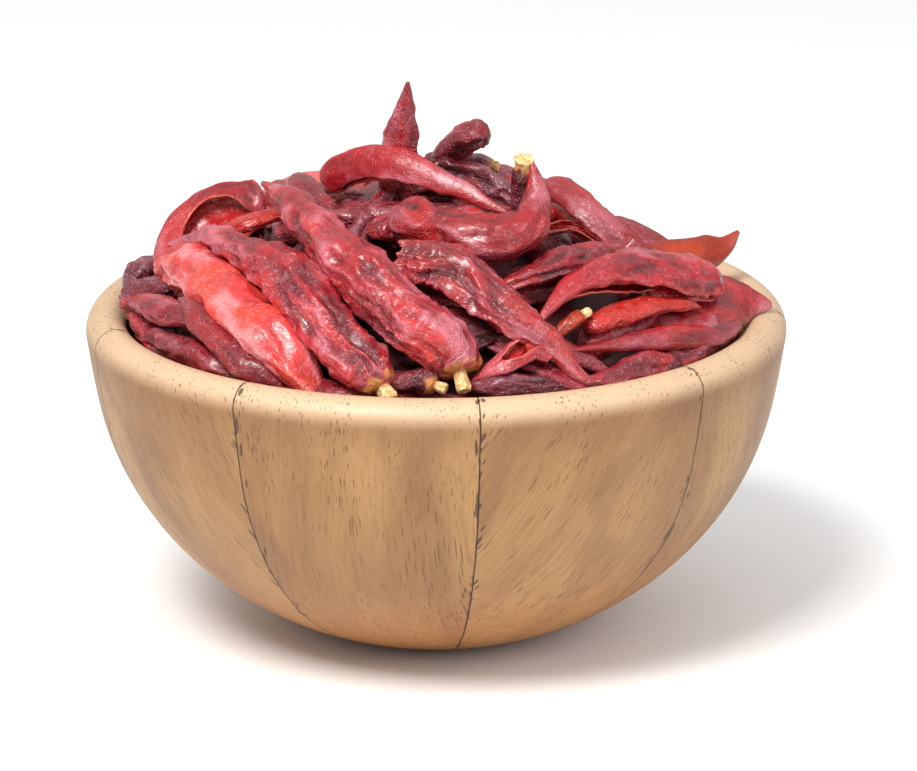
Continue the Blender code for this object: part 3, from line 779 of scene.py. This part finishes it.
# Slim chillies. Younger or narrower pods of a deeper red, which dried to a leathery maroon and lie in
# the gaps between the plump ones, up against the wall and on top of the heap.
SLIM_FACETS = (48, 96)
SLIM = (
    ("open_front", "torn", 9, 0.60, UP, 0.95, 0.9, None,
     ((45, -75, -5), (36, -77, -3), (24, -73, -5), (6, -62, -9))),
    ("upright", "full", 10, 0.70, FRONT, 0.9, 1.1, None,
     ((-13, -4, -12), (-12, -6, 2), (-10, -8, 18), (-8, -9, 36))),
    ("leaning", "full", 10, 0.85, UP, 0.75, 1.2, None, ((14, -2, 19), (7, 4, 14), (0, 11, 6), (-8, 18, -2))),
    ("flap", "whole", 7, 0.35, FRONT, 0.95, 0.5, None, ((54, -34, -3), (54, -32, 3), (56, -30, 9))),
    ("right_low", "full", 13, 0.60, UP, 0.85, 0.8, None, ((64, -44, -9), (77, -30, -6), (86, -16, -3))),
    ("straight", "torn", 10, 0.75, UP, 0.95, 0.5, None,
     ((85, -27, 1), (77, -41, 1), (65, -52, 0), (51, -62, -1), (37, -68, -4))),
    ("low_right", "whole", 10, 0.75, UP, 0.9, 1.0, None,
     ((69, -58, -2), (59, -65, -2), (49, -71, -3), (36, -76, -6))),
    ("crumpled", "torn", 12, 0.65, UP, 0.85, 1.0, None,
     ((48, -37, 5), (38, -44, 4), (27, -52, 2), (12, -56, -4))),
    ("left_edge", "whole", 11, 0.70, UP, 0.95, 1.1, None,
     ((-88, -12, 4), (-82, -22, 3), (-74, -36, 2), (-64, -48, 0), (-52, -56, -6))),
    ("left_low", "full", 10, 0.75, UP, 0.85, 1.0, None,
     ((-84, -20, -6), (-77, -38, -4), (-67, -52, -4), (-55, -64, -6), (-44, -70, -10))),
    ("slender", "full", 10, 0.70, UP, 0.72, 0.7, None,
     ((-40, -78, -10), (-49, -72, -1), (-60, -61, 4), (-67, -48, 6), (-73, -35, 5))),
    ("under_arch", "full", 11, 0.80, UP, 0.7, 1.0, None, ((-52, 20, -5), (-36, 12, -1), (-20, 2, 0))),
)
maroon_skin = skin_material("maroon_dried_skin", paint(76, 5, 13), paint(152, 18, 30), paint(208, 126, 144),
                            paint(188, 22, 18), paint(160, 8, 8), paint(216, 84, 54))
lay(SLIM, SLIM_FACETS, "slim_chillies", maroon_skin)

# Opened chillies. Some pods split along their length as they dried and their stiff skin stayed open,
# so the smooth deep red of the inside shows behind a thin, lighter, wavy edge.
OPENED_FACETS = (76, 150)
OPENED_ABOVE = (
    ("arch", "whole", 11, 0.40, (0.0, -1.0, 0.4), 0.95, 0.4, ((0.05, -0.8, -1.0), 70, 0.04, 0.96),
     ((-31, -2, 5), (-28, -4, 9), (-21, -8, 12), (-14, -12, 13), (-6, -17, 12), (4, -23, 10), (13, -28, 8),
      (21, -31, 6))),
    ("crook", "full", 14, 0.75, FRONT, 0.8, 0.7, None,
     ((-11, -28, 3), (-2, -38, 4), (8, -44, 5), (18, -45, 6), (26, -40, 9), (28, -35, 14), (27, -31, 22))),
    ("fold", "whole", 10, 0.35, (0.2, -0.8, 0.6), 0.75, 0.5, ((0.0, -0.8, -1.0), 45, 0.1, 0.9),
     ((32, -4, 8), (42, -18, 7), (52, -24, 4), (62, -26, 3), (72, -20, 1), (80, -12, 0))),
    ("wing", "full", 9, 0.40, (0.2, -0.8, 0.7), 1.0, 0.4, ((0.0, -1.0, -0.8), 60, 0.1, 0.9),
     ((60, -40, 1), (71, -30, 3), (81, -16, 4), (88, -5, 2))),
)
OPENED_BELOW = (
    ("slit", "whole", 17, 0.65, (0.0, -0.5, 1.0), 1.0, 0.8, ((0.2, -1.0, -0.75), 48, 0.05, 0.9),
     ((79, -17, 5), (71, -27, 5), (59, -37, 5), (48, -47, 5), (37, -57, 4), (29, -66, 1))),
    ("right_wall", "full", 19, 0.25, (-0.3, -0.8, 0.55), 0.85, 0.5, ((0.0, -0.8, -1.0), 60, 0.1, 0.8),
     ((62, -44, -6), (72, -32, -2), (81, -20, 2), (89, -12, 5), (97, -10, 11))),
    ("loop", "whole", 16, 0.35, (-0.5, -1.0, 0.4), 0.85, 0.5, ((0.6, -1.0, 0.0), 150, 0.0, 0.6),
     ((-50, 2, 3), (-62, 10, 6), (-73, 8, 6), (-78, -4, 3), (-72, -22, -1))),
    ("fringed", "torn", 10, 0.50, (0.0, -0.6, 1.0), 1.0, 0.6, ((0.3, -0.4, 1.0), 80, 0.0, 0.6),
     ((31, -77, 4), (26, -78, 5), (20, -81, 3), (10, -83, -2))),
    ("lip", "whole", 8, 0.45, UP, 0.85, 1.0, ((0.0, -0.6, 1.0), 120, 0.1, 0.9),
     ((26, -26, -2), (39, -21, 2), (50, -25, 0))),
)
opened_skin = skin_material("opened_dried_skin", paint(84, 6, 13), paint(172, 18, 28), paint(214, 128, 142),
                            paint(206, 28, 22), paint(186, 12, 10), paint(226, 106, 84), 0.5)
lay(OPENED_ABOVE, OPENED_FACETS, "opened_above", opened_skin)
lay(OPENED_BELOW, OPENED_FACETS, "opened_below", opened_skin)

# Dark chillies. The oldest pods have gone a brownish purple and shrunk hard. They lie low in the gaps or
# at the wall, and four of them still have a stalk stub.
DARK = (
    ("low_stub", "stub", 8, 0.80, UP, 0.8, 1.1, None,
     ((3, -86, -2), (-4, -83, -3), (-12, -80, -6), (-26, -70, -11))),
    ("neck", "stub", 7, 0.90, FRONT, 0.8, 0.8, None,
     ((25, -30, 23), (25, -28, 17), (24, -26, 6), (21, -24, -12))),
    ("wrinkled", "stub", 9, 0.80, UP, 0.95, 1.3, None,
     ((0, 5, 7), (6, -1, 7), (13, -6, 7), (22, -13, 4), (30, -22, -2))),
    ("behind", "stub", 8, 0.80, UP, 0.8, 1.2, None, ((18, 10, 7), (11, 12, 7), (3, 13, 5), (-10, 10, 2))),
    ("grey", "whole", 9, 0.80, UP, 0.95, 1.3, None, ((-26, -32, -4), (-20, -22, 0), (-12, -8, 4))),
    ("dark_right", "full", 9, 0.80, UP, 0.9, 1.3, None,
     ((84, -34, -2), (76, -46, -2), (66, -56, -4), (52, -64, -7))),
    ("rim_a", "whole", 10, 0.80, UP, 0.9, 1.5, None, ((-91, 8, 4), (-84, 12, 3), (-74, 12, 0))),
    ("rim_b", "whole", 10, 0.80, UP, 0.9, 1.5, None, ((-90, -2, 2), (-82, -8, 1), (-70, -14, -3))),
    ("dark_gap", "whole", 7, 0.80, UP, 0.8, 1.0, None, ((-44, -38, -6), (-36, -28, -2), (-28, -10, -3))),
    ("front_gap", "full", 11, 0.80, UP, 0.7, 1.0, None, ((24, -60, -5), (8, -68, -7), (-10, -72, -9))),
    ("left_gap", "full", 11, 0.80, UP, 0.7, 1.0, None, ((-26, -58, -4), (-38, -44, -3), (-50, -22, -3))),
    ("front_low", "full", 9, 0.80, UP, 0.95, 1.0, None,
     ((40, -76, -6), (30, -80, -4), (18, -82, -3), (6, -82, -5))),
)
dark_skin = skin_material("dark_dried_skin", paint(44, 5, 12), paint(104, 14, 26), paint(178, 116, 134),
                          paint(136, 20, 24), paint(120, 10, 10), paint(190, 82, 60))
lay(DARK, SLIM_FACETS, "dark_chillies", dark_skin)

# Light chillies. A few thin-walled pods have dried amber, salmon or scarlet instead of deep red. They lie
# loose: a brown blade at the right wall and a thin one before it, two salmon ones at the back left, and
# three scarlet ones between the others.
AMBER = (
    ("brown", "full", 11, 0.22, FRONT, 0.9, 0.25, None,
     ((58, 0, -12), (66, 6, -5), (74, 12, 0), (80, 17, 5), (85, 21, 11), (89, 24, 19))),
    ("twig", "stub", 5, 0.80, UP, 0.9, 0.8, None, ((43, -59, 2), (38, -62, 0), (31, -67, -4))),
)
amber_skin = skin_material("amber_dried_skin", paint(96, 16, 2), paint(168, 42, 8), paint(214, 110, 60),
                           paint(206, 62, 12), paint(150, 34, 10), paint(220, 120, 66), 0.15)
lay(AMBER, SLIM_FACETS, "amber_chillies", amber_skin)
SALMON = (
    ("pale", "whole", 10, 0.70, UP, 0.9, 0.6, None, ((-62, 16, 0), (-54, 27, 3), (-46, 38, 1))),
    ("salmon", "whole", 12, 0.70, UP, 1.0, 0.4, None, ((-60, 32, -3), (-42, 37, 3), (-24, 40, 4))),
)
salmon_skin = skin_material("salmon_dried_skin", paint(180, 64, 62), paint(220, 104, 98),
                            paint(232, 152, 148), paint(226, 90, 70), paint(160, 40, 30),
                            paint(230, 120, 100), 0.5)
lay(SALMON, SLIM_FACETS, "salmon_chillies", salmon_skin)
SCARLET = (
    ("red", "whole", 10, 0.60, UP, 0.95, 0.5, None, ((28, -13, 1), (36, -10, 0), (48, -14, -3))),
    ("orange", "full", 9, 0.60, UP, 1.0, 0.9, None,
     ((-62, -2, 1), (-54, -6, 3), (-47, -5, 2), (-38, -2, -1))),
    ("inner_red", "full", 9, 0.60, UP, 0.85, 0.7, None,
     ((42, -59, -4), (49, -53, -2), (58, -46, 0), (67, -38, 1), (76, -28, 0))),
)
scarlet_skin = skin_material("scarlet_dried_skin", paint(134, 6, 8), paint(188, 20, 18), paint(216, 100, 96),
                             paint(212, 44, 26), paint(130, 8, 8), paint(210, 70, 50), 0.4)
lay(SCARLET, SLIM_FACETS, "scarlet_chillies", scarlet_skin)

# The chillies below and behind. The rest of the heap, loose pods of every girth that settled along the
# wall and across each other when they were poured in. They lie in rings, a little off at random, and
# lower towards the back right, where the heap has slid.

# A ring is its radius, how many lie in it, their lift, how far off the ring they swing in degrees, and
# how far forward they may lie, behind the chillies above.
FILL_RINGS = (
    (83.0, 10, -5.0, 12.0, -200.0),
    (72.0, 9, -3.0, 40.0, -200.0),
    (50.0, 7, -2.0, 40.0, -200.0),
    (24.0, 5, -1.0, 50.0, -200.0),
    (77.0, 8, 2.0, 30.0, 20.0),
    (58.0, 8, 4.0, 45.0, 16.0),
    (33.0, 6, 4.0, 50.0, 12.0),
    (10.0, 2, 2.0, 60.0, -200.0),
    (66.0, 11, 3.0, 70.0, 32.0),
    (44.0, 8, 5.0, 80.0, 14.0),
)
FILL_GIRTH = (10.0, 15.0)
FILL_LENGTH = (55.0, 82.0)
FILL_FLAT = (0.6, 0.9)
FILL_TONES = (0.78, 0.88, 0.98)
FILL_CRUMPLE = 0.9
RING_SHIFT = 0.5          # a chilli moves on along its ring by up to this share of the step
RING_SPREAD = 4.0         # and in or out by up to this
LIFT_SPREAD = 1.5
END_DROP = 1.5            # its ends hang this far below its ring, and its middle rises as much
BOW_LIMIT = 14.0          # how far it bends along the wall at most
BOW_SHARE = (0.4, 1.3)
BACK_SINK = 5.0
RIGHT_SINK = 0.12
FRONT_LIMIT = -35.0
FRONT_SINK = 6.0
DEEPEST_LIFT = -9.0
FILL_FACETS = (34, 66)
SEED = 7


def fill_rows(ring, chance):
    """Rows like the laid ones for a ring of chillies that lie below or behind them."""
    ring_radius, count, lift, swing_limit, front_limit = ring
    rows = []
    for index in range(count):
        angle = math.tau * (index + chance.uniform(0.0, RING_SHIFT)) / count
        outward = Vector((math.cos(angle), math.sin(angle)))
        swing = math.radians(chance.uniform(-swing_limit, swing_limit))
        along = Matrix.Rotation(swing, 2) @ outward.orthogonal()
        length = chance.uniform(*FILL_LENGTH)
        middle = outward * (ring_radius + chance.uniform(-RING_SPREAD, RING_SPREAD))
        bow = min(length * length / (8.0 * ring_radius), BOW_LIMIT) * chance.uniform(*BOW_SHARE)
        ends = [middle - outward * bow - along * length * side for side in (0.5, -0.5)]
        girth = chance.uniform(*FILL_GIRTH)
        flat = chance.uniform(*FILL_FLAT)
        row_lift = lift + chance.uniform(-LIFT_SPREAD, LIFT_SPREAD)
        if middle.y > 0.0:
            row_lift -= BACK_SINK + RIGHT_SINK * max(middle.x, 0.0)
        if middle.y < FRONT_LIMIT:
            row_lift -= FRONT_SINK
        row_lift = max(row_lift, DEEPEST_LIFT + lift / 2.0)
        places = ((ends[0], -END_DROP), (middle, END_DROP), (ends[1], -END_DROP))
        stops = [(place.x, place.y, row_lift + rise) for place, rise in places]
        if middle.y > front_limit:
            name = f"fill_{ring_radius:.0f}_{index}"
            tone = FILL_TONES[index % len(FILL_TONES)]
            rows.append((name, "whole", girth, flat, UP, tone, FILL_CRUMPLE, None, stops))
    return rows


fill_chance = random.Random(SEED)
filling = [row for ring in FILL_RINGS for row in fill_rows(ring, fill_chance)]
lay(filling[0::3], FILL_FACETS, "filling_rosy", rosy_skin)
lay(filling[1::3], FILL_FACETS, "filling_maroon", maroon_skin)
lay(filling[2::3], FILL_FACETS, "filling_deep", maroon_skin)

# The stalk stubs. Where the stalks were cut or broken off, short blocky ends of dry, cream-yellow
# pith stick out of the shoulders. Each follows the first few millimetres of its chilli's own way.
STUB_SIDES = 12
STUB_RINGS = 8
STUB_END = 0.78           # share of its radius at the broken end
STUB_WAIST = 0.18
STUB_ROUGH = 0.28
STUB_EDGE_ANGLE = 28.0
WAY_POINTS = 100
HEADING_POINTS = 6        # a stub heads the way that its chilli does over so many of them


def pith_material():
    """Dry, crumbly, cream-yellow pith that turns brown where it meets the skin."""
    pith = bpy.data.materials.new("dry_stalk_pith")
    pith.use_nodes = True
    shader = pith.node_tree.nodes["Principled BSDF"]
    place = add_node(pith, "ShaderNodeTexCoord").outputs["Object"]
    crumbs = cloudy(pith, stretched(pith, place, (900.0, 900.0, 900.0)), 4.0, 0.65)
    colour = blend(pith, span(pith, crumbs, 0.38, 0.62), paint(206, 152, 84), paint(246, 218, 166))
    colour = blend(pith, span(pith, mark_of(pith, "stem"), 0.25, 0.9), colour, paint(150, 84, 44))
    plug(pith, colour, shader.inputs["Base Color"])
    shader.inputs["Roughness"].default_value = 0.8
    grain = add_node(pith, "ShaderNodeBump", Strength=0.8, Distance=0.0004)
    plug(pith, crumbs, grain.inputs["Height"])
    plug(pith, grain.outputs[0], shader.inputs["Normal"])
    return pith


def stub_loops(row, radius, length):
    """The loops of a stub: rough rings from its broken end back into its chilli's shoulder."""
    stops = [Vector((x, y, heap_level(x, y) + lift)) for x, y, lift in row[-1]]
    way = smooth_way(stops, WAY_POINTS)[0]
    seed = Vector((radius * 7.0, len(row[0]), 5.0))
    heading = (way[HEADING_POINTS] - way[0]).normalized()
    beside = heading.orthogonal().normalized()
    across = heading.cross(beside)
    loops = []
    marks = []
    for ring in range(STUB_RINGS):
        share = ring / (STUB_RINGS - 1)
        centre = way[0] + heading * (length + STUB_OVERLAP) * share
        swell = radius * (STUB_END if ring == 0 else 1.0 - STUB_WAIST * math.sin(math.pi * share))
        loop = []
        for side in range(STUB_SIDES):
            turn = math.tau * side / STUB_SIDES
            spoke = beside * math.cos(turn) + across * math.sin(turn)
            rough = 1.0 + STUB_ROUGH * noise.noise(seed + spoke * 1.6 + Vector((share, 0.0, 0.0)))
            loop.append(clear_of_bowl(centre + spoke * swell * rough, CHILLI_GAP))
        loops.append(loop)
        mark = {name: [0.0] * STUB_SIDES for name in MARKS if name != "spot"}
        marks.append({**mark, "stem": [share] * STUB_SIDES, "spot": loop})
    return loops, marks


stub_blocks = Skins()
stub_rows = {row[0]: row for row in (*PLUMP, *DARK, *AMBER)}
for stub_name, (stub_radius, stub_length) in STUBS.items():
    stub_blocks.add_loops(*stub_loops(stub_rows[stub_name], stub_radius, stub_length))
stub_piece = stub_blocks.make("stalk_stubs", pith_material())
stub_piece.data.set_sharp_from_angle(angle=math.radians(STUB_EDGE_ANGLE))

# The studio. A pale matt table under the bowl, one large soft light above and to the left, a weaker
# one to the right, and a bright white room whose light comes mostly from above, as for a plain
# product shot. The camera looks slightly down at the front of the bowl.
TABLE_REACH = 4.0
CAMERA_DISTANCE = 1.4
CAMERA_ELEVATION = math.radians(16.88)
CAMERA_LENS = 188.8
LOOK_AT = Vector((0.0, 0.0, 0.087))
LOOK_RIGHT = 0.00643
LOOK_DOWN = 0.0155


def add_soft_light(name, place, size, power, tint):
    """One square softbox that looks at the bowl."""
    lamp = bpy.data.lights.new(name, "AREA")
    lamp.shape = "RECTANGLE"
    lamp.size, lamp.size_y = size
    lamp.energy = power
    lamp.color = tint
    holder = bpy.data.objects.new(name, lamp)
    holder.location = place
    holder.rotation_euler = (LOOK_AT - Vector(place)).to_track_quat("-Z", "Y").to_euler()
    bpy.context.scene.collection.objects.link(holder)


table_mesh = bpy.data.meshes.new("table")
table_shape = bmesh.new()
bmesh.ops.create_grid(table_shape, x_segments=1, y_segments=1, size=TABLE_REACH)
table_shape.to_mesh(table_mesh)
table_shape.free()
table = bpy.data.objects.new("table", table_mesh)
bpy.context.scene.collection.objects.link(table)
table_paint = bpy.data.materials.new("pale_table")
table_paint.use_nodes = True
table_paint.node_tree.nodes["Principled BSDF"].inputs["Base Color"].default_value = (0.97, 0.97, 0.97, 1.0)
table_paint.node_tree.nodes["Principled BSDF"].inputs["Roughness"].default_value = 0.9
table_mesh.materials.append(table_paint)

add_soft_light("key_light", (-0.5, -0.9, 1.4), (0.6, 0.6), 27.0, (1.0, 0.985, 0.96))
add_soft_light("fill_light", (1.0, -0.9, 0.8), (0.8, 0.8), 6.0, (0.97, 0.985, 1.0))

room = bpy.data.worlds.new("room")
room.use_nodes = True
room_nodes = room.node_tree.nodes
room_way = room_nodes.new("ShaderNodeTexCoord")
room_split = room_nodes.new("ShaderNodeSeparateXYZ")
room_height = room_nodes.new("ShaderNodeMapRange")
room.node_tree.links.new(room_way.outputs["Generated"], room_split.inputs[0])
room.node_tree.links.new(room_split.outputs["Z"], room_height.inputs["Value"])
room_height.inputs["From Min"].default_value = 0.0
room_height.inputs["From Max"].default_value = 0.9
room_height.inputs["To Min"].default_value = 0.3
room_height.inputs["To Max"].default_value = 0.82
room_nodes["Background"].inputs["Color"].default_value = (1.0, 1.0, 1.0, 1.0)
room.node_tree.links.new(room_height.outputs["Result"], room_nodes["Background"].inputs["Strength"])
bpy.context.scene.world = room
bpy.context.scene.view_settings.view_transform = "Standard"

camera_back = Vector((0.0, -math.cos(CAMERA_ELEVATION), math.sin(CAMERA_ELEVATION)))
camera_up = Vector((0.0, math.sin(CAMERA_ELEVATION), math.cos(CAMERA_ELEVATION)))
camera_data = bpy.data.cameras.new("camera")
camera_data.lens = CAMERA_LENS
camera_data.sensor_width = 36.0
camera_data.clip_end = 20.0
camera = bpy.data.objects.new("camera", camera_data)
looked_at = LOOK_AT + Vector((LOOK_RIGHT, 0.0, 0.0)) - camera_up * LOOK_DOWN
camera.location = looked_at + camera_back * CAMERA_DISTANCE
camera.rotation_euler = camera_back.to_track_quat("Z", "Y").to_euler()
bpy.context.scene.collection.objects.link(camera)
bpy.context.scene.camera = camera
